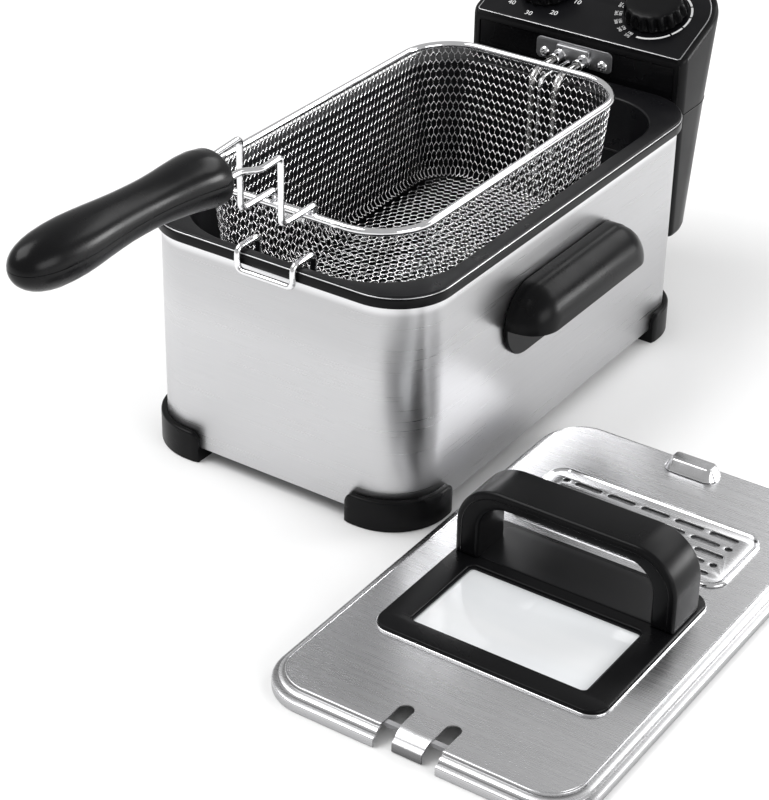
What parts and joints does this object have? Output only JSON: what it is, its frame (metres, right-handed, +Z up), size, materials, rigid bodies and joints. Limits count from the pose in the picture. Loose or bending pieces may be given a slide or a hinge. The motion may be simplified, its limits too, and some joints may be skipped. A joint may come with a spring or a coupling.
{
  "type": "deep fryer",
  "caption": "Household deep fryer: steel body, lift-out pot, wire basket with a folding handle hooked on the pot's rim, lift-off control head with two knobs, and a windowed lid laid beside it.",
  "frame": {"origin": "centre of the fryer body's footprint, on the table it stands on", "axes": "+Z up, -Y towards the basket handle's end, +Y towards the control head, +X towards the lid's side"},
  "size_m": [0.4708, 0.686, 0.2748],
  "materials": {
    "brushed_steel": "satin stainless steel, brushed along its length",
    "chrome": "bright plated wire",
    "black_plastic": "black moulded plastic with a satin sheen",
    "black_gloss": "glossy black moulded plastic",
    "black_enamel": "black enamelled steel",
    "dark_steel": "plain dark grey steel sheet and tube",
    "silver_trim": "satin silver trim line",
    "white_plastic": "unpainted off-white moulding",
    "red_lens": "clear red lens",
    "green_lens": "clear green lens",
    "window_glass": "clear pane with a light grey cast",
    "silicone": "soft grey silicone",
    "filter_foam": "black fibre pad"
  },
  "bodies": {
    "fryer_body": {"housing_shell": "brushed_steel", "base_plate": "dark_steel", "foot_front_left": "black_plastic", "foot_front_right": "black_plastic", "foot_rear_left": "black_plastic", "foot_rear_right": "black_plastic", "top_rim": "black_plastic", "oil_pot": "black_enamel", "side_handle_left": "black_plastic", "side_handle_right": "black_plastic", "guide_rail": "black_plastic"},
    "control_head": {"head_housing": "black_plastic", "head_front_panel": "black_plastic", "head_guide": "black_plastic", "head_top_panel": "black_gloss", "panel_trim": "silver_trim", "power_light": "red_lens", "heat_light": "green_lens", "element_bracket": "brushed_steel", "bracket_screw_left": "chrome", "bracket_screw_right": "chrome", "heating_element": "dark_steel", "sensor_tube": "chrome", "sensor_bulb": "chrome", "timer_body": "white_plastic", "thermostat_body": "white_plastic", "terminal_block": "white_plastic", "interlock_switch": "black_plastic", "reset_switch": "black_plastic", "cord_gland": "black_plastic"},
    "timer_knob": {"timer_knob": "black_plastic"},
    "thermostat_knob": {"thermostat_knob": "black_plastic"},
    "reset_button": {"reset_button": "red_lens"},
    "basket": {"basket_mesh": "chrome", "basket_rim": "chrome", "drain_hook": "chrome", "handle_bracket": "dark_steel"},
    "basket_handle": {"handle_wire_left": "chrome", "handle_wire_right": "chrome", "grip_upper": "black_gloss", "grip_lower": "black_gloss"},
    "lid": {"lid_panel": "brushed_steel", "window_frame": "black_gloss", "window_glass": "window_glass", "lid_handle": "black_gloss", "lid_handle_screw_left": "chrome", "lid_handle_screw_right": "chrome", "vent_frame": "brushed_steel", "vent_cover": "brushed_steel", "vent_filter": "filter_foam", "filter_tray": "dark_steel", "lid_seal": "silicone", "rear_catch": "chrome"}
  },
  "joints": [
    {"name": "head_lift", "type": "slide", "parent": "fryer_body", "child": "control_head", "axis": [0, 0, 1], "range_m": [0, 0.045]},
    {"name": "timer_turn", "type": "hinge", "parent": "control_head", "child": "timer_knob", "pos_m": [-0.0455, 0.23101, 0.21416], "axis": [0, 0.3746, -0.9272], "range_deg": [0, 300]},
    {"name": "thermostat_turn", "type": "hinge", "parent": "control_head", "child": "thermostat_knob", "pos_m": [0.0455, 0.23101, 0.21416], "axis": [0, 0.3746, -0.9272], "range_deg": [0, 270]},
    {"name": "reset_press", "type": "slide", "parent": "control_head", "child": "reset_button", "axis": [0, -1, 0], "range_m": [0, 0.0015], "stiffness_N_per_m": 800},
    {"name": "basket_lift", "type": "slide", "parent": "fryer_body", "child": "basket", "axis": [0, 0, 1], "range_m": [0, 0.2]},
    {"name": "handle_fold", "type": "hinge", "parent": "basket", "child": "basket_handle", "pos_m": [0, -0.158, 0.193], "axis": [-1, 0, 0], "range_deg": [0, 170]},
    {"name": "lid_lift", "type": "slide", "parent": "fryer_body", "child": "lid", "axis": [0.6, 0, 0.8], "range_m": [0, 0.3]}
  ]
}
